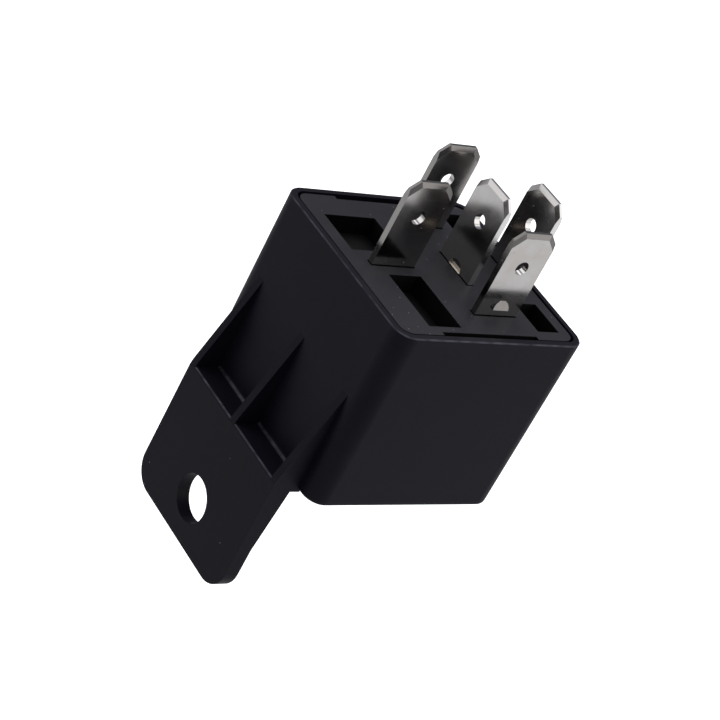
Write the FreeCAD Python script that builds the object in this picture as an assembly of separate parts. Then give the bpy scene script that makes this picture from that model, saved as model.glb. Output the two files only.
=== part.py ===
"""Five-blade automotive relay in a moulded cover with a ribbed mounting tab, in millimetres.

The origin is the centre of the tab's hole on the tab's outer face. +Z runs towards the tips of
the blades, +X from the mounting panel into the relay, and the relay is centred on Y = 0.
"""
import FreeCAD, Part
import math
import os

Vector = FreeCAD.Vector

# Cover
COVER_WIDTH = 28.0
COVER_DEPTH = 24.7
COVER_DRAFT = 0.17
COVER_CORNER = 2.4
RIM_WALL = 0.85
SIDE_WALL = 1.1
END_WALL = 1.2
END_EDGE_ROUND = 0.6
RIM_CHAMFER = 0.15
SNAP_LENGTH = 10.0
SNAP_REACH = 0.5
SNAP_HEIGHT = 0.9

# Where the cover stands from the mounting hole
AXIS_X = 17.46
RIM_Z = 35.6
CLOSED_Z = RIM_Z - COVER_DEPTH
INNER_END_Z = CLOSED_Z + END_WALL

# Mounting tab
TAB_WIDTH = 21.6
TAB_THICK = 1.8
TAB_ROOT_THICK = 2.8
TAB_END_Z = -5.55
TAB_TAPER_Z = 1.6
TAB_CORNER = 3.4
SHELF_EDGE_ROUND = 0.35
SHELF_Z = 12.0
SHELF_UNDER_Z = 10.6
SHELF_FILLET = 0.6
RIB_THICK = 1.0
RIB_TOP_Z = 24.9
RIB_BEND_RADIUS = 6.0
HOLE_RADIUS = 3.0

# Base plate
PLATE_THICK = 3.2
PLATE_RECESS = 0.1
PLATE_GAP = 0.05
PLATE_CORNER = 1.5
PLATE_EDGE_GAP = 0.28
PLATE_EDGE_DEPTH = 1.0
PLATE_TOP_Z = RIM_Z - PLATE_RECESS
PLATE_UNDER_Z = PLATE_TOP_Z - PLATE_THICK
NOTCH_LENGTH = 14.3
NOTCH_DEPTH = 0.8
SNAP_STEP = 1.0
POCKET_DEPTH = 2.4

# Moulded recesses of the base plate: low and high X from the cover's axis, low and high Y
POCKETS = (
    (-11.05, -3.55, 2.3, 8.95),
    (-8.4, -3.6, -11.35, -2.05),
    (8.1, 11.4, -11.35, -6.1),
    (8.1, 11.4, 6.1, 11.2),
)

# Slots for the blades
SLOT_RELIEF_LENGTH = 6.5
SLOT_RELIEF_WIDTH = 1.1
SLOT_RELIEF_DEPTH = 0.4
SLOT_CLEARANCE = 0.05

# Blade terminals
BLADE_WIDTH = 6.3
BLADE_THICK = 0.8
BLADE_REACH = 11.5
BLADE_CORNER = 1.15
BLADE_TIP_THICK = 0.4
BLADE_TIP_TAPER = 0.65
BLADE_HOLE_RADIUS = 0.9
BLADE_HOLE_FROM_TIP = 4.7
BLADE_TIP_Z = PLATE_TOP_Z + BLADE_REACH
LUG_RADIUS = 1.15
LUG_STANDOUT = 0.35
COIL_LUG_LIFT = 1.05
CONTACT_LUG_LIFT = 0.05
SHOULDER_REACH = 0.6
SHOULDER_DROP = 1.0
TAG_WIDTH = 1.2
TAG_DROP = 3.4
TENON_INSET = 0.6
TENON_LENGTH = 3.0

# Inner strips of the contact blades
STRIP_BEND = 0.5
CONTACT_MARGIN = 0.4
OPEN_LEG_WIDTH = 5.0
SIDE_LEG_OUT = 6.6
SIDE_LEG_LOW_Y = 3.4
SIDE_LEG_HIGH_Y = 6.6
SIDE_LEG_BEND = 0.4
FOOT_LOW_Y = -2.2
FOOT_LENGTH = 4.0

# Standard pin pattern, from the centre blade
PATTERN_X = AXIS_X + 3.15
PIN_87_OUT = 8.0
PIN_30_BACK = 9.85
PIN_COIL_SIDE = 8.4

# Magnet
STEEL = 1.6
YOKE_X = 6.0
YOKE_WIDTH = 13.0
YOKE_FOOT_END_X = 19.6
YOKE_INNER_BEND = 0.2
YOKE_OUTER_BEND = 1.7
COIL_X = 14.1
CORE_RADIUS = 2.7
CORE_RIVET_RADIUS = 2.2
POLE_RADIUS = 4.75
POLE_THICK = 1.3
POLE_FACE_Z = 18.05
POLE_CHAMFER = 0.25
BOBBIN_RADIUS = 6.3
BOBBIN_WALL = 0.8
FLANGE_THICK = 0.8
WINDING_RADIUS = 5.6
TAPE_THICK = 0.1
TAPE_MARGIN = 0.7
WIRE_RADIUS = 0.15
LEAD_START_X = 1.0

# Armature, its leaf spring and the contacts
HINGE_X = YOKE_X + 0.2
ARMATURE_THICK = 1.5
ARMATURE_WIDTH = 12.0
ARMATURE_END_X = 19.6
ARMATURE_CORNER = 1.5
REST_TILT_DEG = 4.0
TRAVEL_DEG = 3.85
LEAF_THICK = 0.25
LEAF_WIDTH = 10.0
LEAF_TIP_WIDTH = 4.6
LEAF_TOP_Z = 27.0
LEAF_END_X = 26.4
LEAF_ROOT_LIFT = 0.2
LEAF_ROOT_RUN = 0.5
LEAF_ARM_START = 1.0
LEAF_ARM_RUN = 0.25
LEAF_SHOULDER = 2.0
LEAF_NECK = 2.6
LEAF_TIP_ROUND = 1.4
LEAF_TURN_DEG = (195, 225, 250)
HEEL_ROUND = 0.6
HEEL_CLEARANCE = 0.06
CONTACT_X = 24.5
CONTACT_RADIUS = 1.6
CONTACT_SIDE = 0.4
CONTACT_CROWN = 0.2
CONTACT_GAP = 0.03
CONTACT_NECK_RADIUS = 0.96
RIVET_RADIUS = 0.75
RIVET_HEAD_RADIUS = 1.25
RIVET_HEAD = 0.45
RIVET_SPREAD = 3.3
ARMATURE_RIVET_X = 11.5
YOKE_RIVET_Z = 24.6
BRAID_WIDTH = 2.4
BRAID_THICK = 0.6
BRAID_SLACK = 1.1
BRAID_TOP_Z = 26.0
BRAID_END_X = 21.6
BRAID_END_RUN = 2.2

# The braid's sag under the armature: X, and share of the slack
BRAID_SAG = ((8.4, 0.7), (12.0, 1.0), (16.0, 0.6))

# Straight steps that a bent strip's curve is made of
BEND_STEPS = 12


def block(low, high):
    """A box between two opposite corners."""
    size = [high[i] - low[i] for i in range(3)]
    return Part.makeBox(size[0], size[1], size[2], Vector(*low))


def side_profile(points, y_low, y_high):
    """A polygon of (x, z) points, carried from one Y to the other."""
    corners = [Vector(x, y_low, z) for x, z in points]
    face = Part.Face(Part.makePolygon(corners + corners[:1]))
    return face.extrude(Vector(0, y_high - y_low, 0))


def edges_near(shape, test):
    """The edges whose two ends and middle all pass the test."""
    found = []
    for edge in shape.Edges:
        middle = edge.valueAt((edge.FirstParameter + edge.LastParameter) / 2)
        ends = [vertex.Point for vertex in edge.Vertexes]
        if all(test(point) for point in ends + [middle]):
            found.append(edge)
    return found


def near(value, target, slack=0.02):
    """True when two sizes agree to the slack."""
    return abs(value - target) < slack


def round_bend(shape, x, z, radius):
    """Rounds the edge that runs along Y through (x, z)."""
    return shape.makeFillet(radius, edges_near(shape, lambda p: near(p.x, x) and near(p.z, z)))


def tapered_block(half_low, half_high, radius, z_low, z_high):
    """A square block, centred on the cover's axis, with sloping sides and round upright corners."""
    solid = Part.makeWedge(-half_low, z_low, -half_low, -half_high, -half_high,
                           half_low, z_high, half_low, half_high, half_high)
    solid.rotate(Vector(0, 0, 0), Vector(1, 0, 0), 90)
    solid.translate(Vector(AXIS_X, 0, 0))
    upright = [edge for edge in solid.Edges if abs(edge.Vertexes[0].Z - edge.Vertexes[1].Z) > 0.1]
    return solid.makeFillet(radius, upright)


def cover_half(z):
    """Half of the cover's outer width at a height."""
    return COVER_WIDTH / 2 - COVER_DRAFT * (RIM_Z - z) / COVER_DEPTH


def cover_body():
    """The outside of the box, with its soft end edge and finely broken rim edge."""
    body = tapered_block(cover_half(CLOSED_Z), cover_half(RIM_Z), COVER_CORNER, CLOSED_Z, RIM_Z)
    body = body.makeFillet(END_EDGE_ROUND, edges_near(body, lambda p: near(p.z, CLOSED_Z)))
    return body.makeChamfer(RIM_CHAMFER, edges_near(body, lambda p: near(p.z, RIM_Z)))


def mounting_tab():
    """The tab and the shelf that carries it from the box, cut from one side profile."""
    wall_x = AXIS_X - cover_half(SHELF_Z)
    inside_x = wall_x + SIDE_WALL / 2
    outline = [
        (0, TAB_END_Z),
        (0, SHELF_Z),
        (wall_x, SHELF_Z),
        (wall_x, SHELF_Z + SHELF_FILLET),
        (inside_x, SHELF_Z + SHELF_FILLET),
        (inside_x, SHELF_UNDER_Z),
        (TAB_ROOT_THICK, SHELF_UNDER_Z),
        (TAB_THICK, TAB_TAPER_Z),
        (TAB_THICK, TAB_END_Z),
    ]
    half = TAB_WIDTH / 2
    tab = side_profile(outline, -half, half)
    tab = round_bend(tab, wall_x, SHELF_Z, SHELF_FILLET * 0.95)
    tab = tab.makeFillet(TAB_CORNER, edges_near(
        tab, lambda p: near(p.z, TAB_END_Z) and near(abs(p.y), half)))
    return round_bend(tab, 0, SHELF_Z, SHELF_EDGE_ROUND)


def mounting_rib(y):
    """One gusset, from the tab's shelf up the wall of the box."""
    top_wall_x = AXIS_X - cover_half(RIB_TOP_Z)
    inside_x = top_wall_x + SIDE_WALL / 2
    root_z = SHELF_UNDER_Z
    slope = top_wall_x / (RIB_TOP_Z - SHELF_Z)
    outline = [
        (0, root_z),
        (0, SHELF_Z),
        (inside_x, SHELF_Z + inside_x / slope),
        (inside_x, root_z),
    ]
    rib = side_profile(outline, y - RIB_THICK / 2, y + RIB_THICK / 2)
    return round_bend(rib, 0, SHELF_Z, RIB_BEND_RADIUS)


def snap_ridge(side):
    """A ridge inside the rim that holds the base plate down; side is -1 or 1 along Y."""
    z = PLATE_UNDER_Z + SNAP_STEP
    wall_y = COVER_WIDTH / 2 - RIM_WALL
    profile = [(wall_y + RIM_WALL / 2, z), (wall_y - SNAP_REACH, z),
               (wall_y - SNAP_REACH, z + SNAP_HEIGHT / 3), (wall_y, z + SNAP_HEIGHT),
               (wall_y + RIM_WALL / 2, z + SNAP_HEIGHT)]
    corners = [Vector(AXIS_X - SNAP_LENGTH / 2, side * y, z_point) for y, z_point in profile]
    face = Part.Face(Part.makePolygon(corners + corners[:1]))
    return face.extrude(Vector(SNAP_LENGTH, 0, 0))


def make_cover():
    """The moulded cover: box, tab, shelf and three ribs in one piece."""
    rib_side = (TAB_WIDTH - RIB_THICK) / 2
    outside = cover_body().fuse([mounting_tab()] + [mounting_rib(y) for y in (-rib_side, 0, rib_side)])
    cavity = tapered_block(cover_half(INNER_END_Z) - SIDE_WALL, cover_half(PLATE_UNDER_Z) - SIDE_WALL,
                           COVER_CORNER - SIDE_WALL, INNER_END_Z, PLATE_UNDER_Z)
    seat_half = COVER_WIDTH / 2 - RIM_WALL
    seat = tapered_block(seat_half, seat_half, PLATE_CORNER + PLATE_GAP, PLATE_UNDER_Z, RIM_Z + 1)
    hole = Part.makeCylinder(HOLE_RADIUS, 3 * TAB_ROOT_THICK, Vector(-TAB_ROOT_THICK, 0, 0), Vector(1, 0, 0))
    shell = outside.cut([cavity, seat, hole])
    return shell.fuse([snap_ridge(-1), snap_ridge(1)]).removeSplitter()


def pin_places():
    """Centre and direction of width of each blade, by its standard terminal number."""
    return {
        "30": (PATTERN_X - PIN_30_BACK, 0.0, "x"),
        "85": (PATTERN_X, -PIN_COIL_SIDE, "x"),
        "86": (PATTERN_X, PIN_COIL_SIDE, "x"),
        "87": (PATTERN_X + PIN_87_OUT, 0.0, "y"),
        "87a": (PATTERN_X, 0.0, "y"),
    }


def across(x, y, way, long_half, short_half, z_low, z_high):
    """A box round (x, y) with its long side along the given way."""
    half_x, half_y = (long_half, short_half) if way == "x" else (short_half, long_half)
    return block((x - half_x, y - half_y, z_low), (x + half_x, y + half_y, z_high))


def slot_cutters():
    """Through slots for the blades, each with a shallow wider mouth."""
    cutters = []
    for x, y, way in pin_places().values():
        cutters.append(across(x, y, way, BLADE_WIDTH / 2 + SLOT_CLEARANCE, BLADE_THICK / 2 + SLOT_CLEARANCE,
                              PLATE_UNDER_Z - 1, PLATE_TOP_Z + 1))
        cutters.append(across(x, y, way, SLOT_RELIEF_LENGTH / 2, SLOT_RELIEF_WIDTH / 2,
                              PLATE_TOP_Z - SLOT_RELIEF_DEPTH, PLATE_TOP_Z + 1))
    return cutters


def pocket(x_low, x_high, y_low, y_high):
    """One moulded recess in the base plate, placed from the cover's axis."""
    floor_z = PLATE_TOP_Z - POCKET_DEPTH
    return block((AXIS_X + x_low, y_low, floor_z), (AXIS_X + x_high, y_high, PLATE_TOP_Z + 1))


def make_base_plate():
    """The plate that carries the blades and closes the cover."""
    half = COVER_WIDTH / 2 - RIM_WALL - PLATE_GAP
    step_z = PLATE_TOP_Z - PLATE_EDGE_DEPTH
    top_half = half + PLATE_GAP - PLATE_EDGE_GAP
    seat = tapered_block(half, half, PLATE_CORNER, PLATE_UNDER_Z, step_z)
    plate = seat.fuse(tapered_block(top_half, top_half, PLATE_CORNER, step_z, PLATE_TOP_Z))
    cutters = slot_cutters()
    cutters += [pocket(*place) for place in POCKETS]
    for side in (-1, 1):
        y_low, y_high = sorted((side * (half - NOTCH_DEPTH), side * (half + 1)))
        cutters.append(block((AXIS_X - NOTCH_LENGTH / 2, y_low, PLATE_UNDER_Z + SNAP_STEP),
                             (AXIS_X + NOTCH_LENGTH / 2, y_high, PLATE_TOP_Z + 1)))
    return plate.cut(cutters)


def blade_outline(half, z_low):
    """Flat outline of a blade: straight sides and 45 degree corners at the tip, as (across, z)."""
    return [(-half, z_low), (half, z_low), (half, BLADE_TIP_Z - BLADE_CORNER),
            (half - BLADE_CORNER, BLADE_TIP_Z), (-half + BLADE_CORNER, BLADE_TIP_Z),
            (-half, BLADE_TIP_Z - BLADE_CORNER)]


def tip_bevels(half):
    """Wedges that thin the blade's tip and both cut corners, on both faces."""
    corners = [(-half, BLADE_TIP_Z - BLADE_CORNER), (-half + BLADE_CORNER, BLADE_TIP_Z),
               (half - BLADE_CORNER, BLADE_TIP_Z), (half, BLADE_TIP_Z - BLADE_CORNER)]
    return [tip_bevel(corners[i], corners[i + 1], side) for i in range(3) for side in (-1, 1)]


def tip_bevel(start, end, side):
    """A wedge along one edge of the tip, from (across, z) start to end, on the face at side."""
    begin = Vector(start[0], 0, start[1])
    along = Vector(end[0], 0, end[1]) - begin
    run = Vector(along).normalize()
    inward = Vector(run.z, 0, -run.x)
    slope = (BLADE_THICK - BLADE_TIP_THICK) / 2 / BLADE_TIP_TAPER
    over = BLADE_TIP_TAPER / 2
    section = [(-over, BLADE_TIP_THICK / 2 - over * slope),
               (BLADE_TIP_TAPER + over, BLADE_THICK / 2 + over * slope),
               (-over, BLADE_THICK / 2 + over * slope)]
    reach = BLADE_WIDTH
    corners = [begin - run * reach + inward * deep + Vector(0, side * high, 0) for deep, high in section]
    return Part.Face(Part.makePolygon(corners + corners[:1])).extrude(along + run * (2 * reach))


def blade(number, lug_side, lug_lift=0):
    """The plug-in part of a terminal, from the plate's underside to the tip.

    It is made with its width along X and then turned. lug_side says out of which face the locking
    lug stands, or 0 for none, and lug_lift how far its edge is above the base plate.
    """
    x, y, way = pin_places()[number]
    half = BLADE_WIDTH / 2
    thick = BLADE_THICK / 2
    body = side_profile(blade_outline(half, PLATE_UNDER_Z), -thick, thick)
    hole_z = BLADE_TIP_Z - BLADE_HOLE_FROM_TIP
    hole = Part.makeCylinder(BLADE_HOLE_RADIUS, 2, Vector(0, -1, hole_z), Vector(0, 1, 0))
    body = body.cut(tip_bevels(half) + [hole])
    if lug_side:
        edge_z = PLATE_TOP_Z + lug_lift
        body = body.cut(half_moon(-lug_side, -1, edge_z)).fuse(half_moon(lug_side, 1, edge_z))
    if way == "y":
        body.rotate(Vector(0, 0, 0), Vector(0, 0, 1), 90)
    body.translate(Vector(x, y, 0))
    return body


def half_moon(side, sign, edge_z):
    """Half a disc with a sloping face and its straight edge level at edge_z.

    It stands out of the blade's face at side where sign is 1, and goes into that face where it
    is -1: the lug is pressed through from one face to the other.
    """
    face_y = BLADE_THICK / 2
    back_y = face_y - sign * BLADE_THICK / 4
    profile = [(back_y, edge_z), (face_y + sign * LUG_STANDOUT, edge_z), (face_y, edge_z + LUG_RADIUS),
               (back_y, edge_z + LUG_RADIUS)]
    corners = [Vector(-LUG_RADIUS, side * y, z) for y, z in profile]
    wedge = Part.Face(Part.makePolygon(corners + corners[:1])).extrude(Vector(2 * LUG_RADIUS, 0, 0))
    start = Vector(0, -2 * BLADE_THICK, edge_z)
    disc = Part.makeCylinder(LUG_RADIUS, 4 * BLADE_THICK, start, Vector(0, 1, 0))
    return wedge.common(disc)


def make_coil_terminal(number, side):
    """A blade for one end of the winding, with shoulders and a narrow tag for the wire."""
    x, y, _ = pin_places()[number]
    thick = BLADE_THICK / 2
    half = BLADE_WIDTH / 2
    shoulder = block((x - half - SHOULDER_REACH, y - thick, PLATE_UNDER_Z - SHOULDER_DROP),
                     (x + half + SHOULDER_REACH, y + thick, PLATE_UNDER_Z))
    tag = block((x - half, y - thick, tag_low_z()), (x - half + TAG_WIDTH, y + thick, PLATE_UNDER_Z))
    return blade(number, side, COIL_LUG_LIFT).fuse([shoulder, tag]).removeSplitter()


def tag_low_z():
    """Lower end of the wire tags under the base plate."""
    return PLATE_UNDER_Z - TAG_DROP


def make_terminal_30():
    """The common blade, with a tenon that is staked into the yoke's foot."""
    x, _, _ = pin_places()["30"]
    thick = BLADE_THICK / 2
    low_x = x - BLADE_WIDTH / 2 + TENON_INSET
    tenon = block((low_x, -thick, PLATE_UNDER_Z - STEEL), (low_x + TENON_LENGTH, thick, PLATE_UNDER_Z))
    return blade("30", 0).fuse(tenon).removeSplitter()


def open_apex():
    """Where the moving contact's crown stands when the coil pulls: (x, z) of its highest point."""
    tilt = math.radians(REST_TILT_DEG - TRAVEL_DEG)
    return crown_point(tilt, 1)


def closed_apex():
    """Where the moving contact's crown stands at rest: (x, z) of its lowest point."""
    return crown_point(math.radians(REST_TILT_DEG), -1)


def crown_ball():
    """Radius of the ball that gives a contact its crown."""
    return (CONTACT_RADIUS ** 2 + CONTACT_CROWN ** 2) / (2 * CONTACT_CROWN)


def crown_point(tilt, side):
    """The crown's outermost point after the armature has turned down by the tilt."""
    height = CONTACT_SIDE + CONTACT_CROWN
    leaf_z = POLE_FACE_Z - ARMATURE_THICK
    face_z = leaf_z if side > 0 else leaf_z - LEAF_THICK
    along = CONTACT_X - HINGE_X
    up = face_z + side * (height - crown_ball()) - POLE_FACE_Z
    x = HINGE_X + along * math.cos(tilt) + up * math.sin(tilt)
    z = POLE_FACE_Z - along * math.sin(tilt) + up * math.cos(tilt)
    return x, z + side * crown_ball()


def make_terminal_87():
    """The normally open terminal: blade, leg down the far wall, arm back over the contact."""
    x, _, _ = pin_places()["87"]
    inner = x - BLADE_THICK / 2
    outer = x + BLADE_THICK / 2
    _, apex_z = open_apex()
    arm_z = apex_z + CONTACT_GAP + CONTACT_SIDE + CONTACT_CROWN
    arm_end = CONTACT_X - CONTACT_RADIUS - CONTACT_MARGIN
    outline = [(inner, PLATE_UNDER_Z), (inner, arm_z + BLADE_THICK), (arm_end, arm_z + BLADE_THICK),
               (arm_end, arm_z), (outer, arm_z), (outer, PLATE_UNDER_Z)]
    leg = side_profile(outline, -OPEN_LEG_WIDTH / 2, OPEN_LEG_WIDTH / 2)
    leg = round_bend(leg, inner, arm_z + BLADE_THICK, STRIP_BEND)
    leg = round_bend(leg, outer, arm_z, STRIP_BEND + BLADE_THICK * 0.9)
    return blade("87", -1, CONTACT_LUG_LIFT).fuse([leg, shoulder_bar(x)]).removeSplitter()


def shoulder_bar(x):
    """Shoulders under the plate, on a blade whose width runs along Y."""
    half = BLADE_WIDTH / 2 + SHOULDER_REACH
    return block((x - BLADE_THICK / 2, -half, PLATE_UNDER_Z - SHOULDER_DROP),
                 (x + BLADE_THICK / 2, half, PLATE_UNDER_Z))


def make_terminal_87a():
    """The normally closed terminal: the centre blade, a bridge, a leg beside the other arm, a foot."""
    x, _, _ = pin_places()["87a"]
    near_x = x - BLADE_THICK / 2
    leg_x = near_x + SIDE_LEG_OUT
    _, apex_z = closed_apex()
    foot_top = apex_z - CONTACT_GAP - CONTACT_SIDE - CONTACT_CROWN
    foot_z = foot_top - BLADE_THICK
    bridge_z = PLATE_UNDER_Z - BLADE_THICK
    foot_end = CONTACT_X - CONTACT_RADIUS - CONTACT_MARGIN
    outer_x = leg_x + BLADE_THICK
    bridge = block((near_x, -BLADE_WIDTH / 2, bridge_z), (outer_x, SIDE_LEG_HIGH_Y, PLATE_UNDER_Z))
    bridge = round_bend(bridge, outer_x, PLATE_UNDER_Z, STRIP_BEND)
    leg = side_profile([(leg_x, bridge_z + 0.1), (leg_x, foot_top), (foot_end, foot_top), (foot_end, foot_z),
                        (outer_x, foot_z), (outer_x, bridge_z + 0.1)], SIDE_LEG_LOW_Y, SIDE_LEG_HIGH_Y)
    leg = round_bend(leg, leg_x, foot_top, SIDE_LEG_BEND)
    leg = round_bend(leg, outer_x, foot_z, SIDE_LEG_BEND + BLADE_THICK * 0.9)
    foot = block((foot_end, FOOT_LOW_Y, foot_z), (foot_end + FOOT_LENGTH, SIDE_LEG_LOW_Y, foot_top))
    return blade("87a", -1, CONTACT_LUG_LIFT).fuse([bridge, leg, foot]).removeSplitter()


def contact_button(x, z, side):
    """A fixed contact with a low crown; side is 1 when it faces up from z, -1 when it faces down."""
    crown_top = CONTACT_SIDE + CONTACT_CROWN
    ball = crown_ball()
    middle = CONTACT_RADIUS / 2
    middle_z = crown_top - ball + math.sqrt(ball ** 2 - middle ** 2)
    edges = [
        Part.LineSegment(Vector(0, 0, 0), Vector(CONTACT_RADIUS, 0, 0)).toShape(),
        Part.LineSegment(Vector(CONTACT_RADIUS, 0, 0), Vector(CONTACT_RADIUS, 0, CONTACT_SIDE)).toShape(),
        Part.Arc(Vector(CONTACT_RADIUS, 0, CONTACT_SIDE), Vector(middle, 0, middle_z),
                 Vector(0, 0, crown_top)).toShape(),
        Part.LineSegment(Vector(0, 0, crown_top), Vector(0, 0, 0)).toShape(),
    ]
    button = Part.Face(Part.Wire(edges)).revolve(Vector(0, 0, 0), Vector(0, 0, 1), 360)
    if side < 0:
        button.rotate(Vector(0, 0, 0), Vector(1, 0, 0), 180)
    button.translate(Vector(x, 0, z))
    return button


def make_fixed_contact(apex, side):
    """A fixed contact whose crown stands a hair from the moving contact's; side is where it faces."""
    x, z = apex
    return contact_button(x, z - side * (CONTACT_GAP + CONTACT_SIDE + CONTACT_CROWN), side)


def make_yoke():
    """The L-shaped magnet frame: a leg beside the coil and a foot under the base plate."""
    foot_low = PLATE_UNDER_Z - STEEL
    outline = [(YOKE_X, POLE_FACE_Z), (YOKE_X + STEEL, POLE_FACE_Z), (YOKE_X + STEEL, foot_low),
               (YOKE_FOOT_END_X, foot_low), (YOKE_FOOT_END_X, PLATE_UNDER_Z), (YOKE_X, PLATE_UNDER_Z)]
    half = YOKE_WIDTH / 2
    yoke = side_profile(outline, -half, half)
    yoke = round_bend(yoke, YOKE_X + STEEL, foot_low, YOKE_INNER_BEND)
    yoke = round_bend(yoke, YOKE_X, PLATE_UNDER_Z, YOKE_OUTER_BEND)
    core_hole = Part.makeCylinder(CORE_RIVET_RADIUS, STEEL * 2, Vector(COIL_X, 0, foot_low - STEEL / 2))
    tenon_x = pin_places()["30"][0] - BLADE_WIDTH / 2 + TENON_INSET
    tenon_slot = block((tenon_x, -BLADE_THICK / 2, foot_low - 1),
                       (tenon_x + TENON_LENGTH, BLADE_THICK / 2, PLATE_UNDER_Z + 1))
    rivets = [Part.makeCylinder(RIVET_RADIUS, STEEL * 2, Vector(YOKE_X - STEEL / 2, y, YOKE_RIVET_Z),
                                Vector(1, 0, 0)) for y in (-RIVET_SPREAD, RIVET_SPREAD)]
    return yoke.cut([core_hole, tenon_slot] + rivets)


def make_core():
    """The soft iron core: pole head, shank through the bobbin, and riveted end in the yoke."""
    foot_low = PLATE_UNDER_Z - STEEL
    head = Part.makeCylinder(POLE_RADIUS, POLE_THICK, Vector(COIL_X, 0, POLE_FACE_Z))
    head = head.makeChamfer(POLE_CHAMFER, edges_near(head, lambda p: near(p.z, POLE_FACE_Z))[:1])
    shank_z = POLE_FACE_Z + POLE_THICK
    shank = Part.makeCylinder(CORE_RADIUS, foot_low - shank_z, Vector(COIL_X, 0, shank_z))
    rivet = Part.makeCylinder(CORE_RIVET_RADIUS, STEEL, Vector(COIL_X, 0, foot_low))
    return head.fuse([shank, rivet]).removeSplitter()


def ring(inner, outer, z_low, z_high):
    """A plain tube on the coil's axis."""
    tube = Part.makeCylinder(outer, z_high - z_low, Vector(COIL_X, 0, z_low))
    return tube.cut(Part.makeCylinder(inner, z_high - z_low + 2, Vector(COIL_X, 0, z_low - 1)))


def winding_span():
    """Lowest and highest Z of the winding, between the bobbin's flanges."""
    return POLE_FACE_Z + POLE_THICK + FLANGE_THICK, PLATE_UNDER_Z - STEEL - FLANGE_THICK


def make_bobbin():
    """The spool: a thin hub and two flanges, with a wire slot at each coil terminal."""
    low, high = winding_span()
    bore = CORE_RADIUS + SLOT_CLEARANCE
    hub = ring(bore, bore + BOBBIN_WALL, low - FLANGE_THICK, high + FLANGE_THICK)
    lower = ring(bore, BOBBIN_RADIUS, low - FLANGE_THICK, low)
    upper = ring(bore, BOBBIN_RADIUS, high, high + FLANGE_THICK)
    bobbin = hub.fuse([lower, upper])
    return bobbin.removeSplitter()


def make_coil_lead(side):
    """The end of the winding's wire, out to a coil terminal's tag and turned tightly round it."""
    _, high = winding_span()
    x, y, _ = pin_places()["86" if side > 0 else "85"]
    tag_x = x - BLADE_WIDTH / 2
    wire_z = high - 2 * WIRE_RADIUS
    start = Vector(COIL_X + LEAD_START_X, side * (WINDING_RADIUS - WIRE_RADIUS), wire_z)
    end = Vector(tag_x - WIRE_RADIUS, y - side * (BLADE_THICK / 2 + WIRE_RADIUS), wire_z)
    run = end - start
    wire = Part.makeCylinder(WIRE_RADIUS, run.Length, start, run)
    thick = 2 * WIRE_RADIUS
    low = (tag_x - thick, y - BLADE_THICK / 2 - thick, wire_z - 3 * WIRE_RADIUS)
    high_corner = (tag_x + TAG_WIDTH + thick, y + BLADE_THICK / 2 + thick, wire_z + 3 * WIRE_RADIUS)
    turns = block(low, high_corner)
    tag = block((tag_x, y - BLADE_THICK / 2, low[2] - 1),
                (tag_x + TAG_WIDTH, y + BLADE_THICK / 2, high_corner[2] + 1))
    return wire.fuse(turns).cut([tag, ring(0.0001, WINDING_RADIUS, wire_z - 1, wire_z + 1)])


def at_rest(shape):
    """Turns a piece that was drawn with the armature pulled in down to its rest position."""
    turned = shape.copy()
    turned.rotate(Vector(HINGE_X, 0, POLE_FACE_Z), Vector(0, 1, 0), REST_TILT_DEG)
    return turned


def make_armature():
    """The flat steel armature, with cut corners at its free end and a softened heel."""
    half = ARMATURE_WIDTH / 2
    low = POLE_FACE_Z - ARMATURE_THICK
    plate = block((HINGE_X, -half, low), (ARMATURE_END_X, half, POLE_FACE_Z))
    plate = plate.makeChamfer(ARMATURE_CORNER, edges_near(
        plate, lambda p: near(p.x, ARMATURE_END_X) and near(abs(p.y), half)))
    plate = round_bend(plate, HINGE_X, low, HEEL_ROUND)
    rivets = [Part.makeCylinder(RIVET_RADIUS, ARMATURE_THICK * 2, Vector(ARMATURE_RIVET_X, y, low - 1))
              for y in (-RIVET_SPREAD, RIVET_SPREAD)]
    return at_rest(plate.cut(rivets))


def leaf_root():
    """The spring's upright leg, against the back of the yoke."""
    half = LEAF_WIDTH / 2
    low = POLE_FACE_Z + LEAF_ROOT_LIFT
    leg = block((YOKE_X - LEAF_THICK, -half, low), (YOKE_X, half, LEAF_TOP_Z))
    return leg.cut([Part.makeCylinder(RIVET_RADIUS, 2, Vector(YOKE_X - 1, y, YOKE_RIVET_Z), Vector(1, 0, 0))
                    for y in (-RIVET_SPREAD, RIVET_SPREAD)])


def leaf_blade():
    """The spring's flat arm on the armature, narrowing to the moving contact."""
    top = POLE_FACE_Z - ARMATURE_THICK
    half = LEAF_WIDTH / 2
    tip = LEAF_TIP_WIDTH / 2
    start_x = HINGE_X + LEAF_ARM_START
    wide_x = ARMATURE_END_X - LEAF_SHOULDER
    narrow_x = CONTACT_X - LEAF_NECK
    outline = [(start_x, -half), (wide_x, -half), (narrow_x, -tip), (LEAF_END_X, -tip),
               (LEAF_END_X, tip), (narrow_x, tip), (wide_x, half), (start_x, half)]
    corners = [Vector(x, y, top - LEAF_THICK) for x, y in outline]
    arm = Part.Face(Part.makePolygon(corners + corners[:1])).extrude(Vector(0, 0, LEAF_THICK))
    tip_corners = edges_near(arm, lambda p: near(p.x, LEAF_END_X) and near(abs(p.y), tip))
    arm = arm.makeFillet(LEAF_TIP_ROUND, tip_corners)
    holes = [Part.makeCylinder(RIVET_RADIUS, 2, Vector(ARMATURE_RIVET_X, y, top - 1))
             for y in (-RIVET_SPREAD, RIVET_SPREAD)]
    holes.append(Part.makeCylinder(CONTACT_NECK_RADIUS, 2, Vector(CONTACT_X, 0, top - 1)))
    return at_rest(arm.cut(holes))


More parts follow.
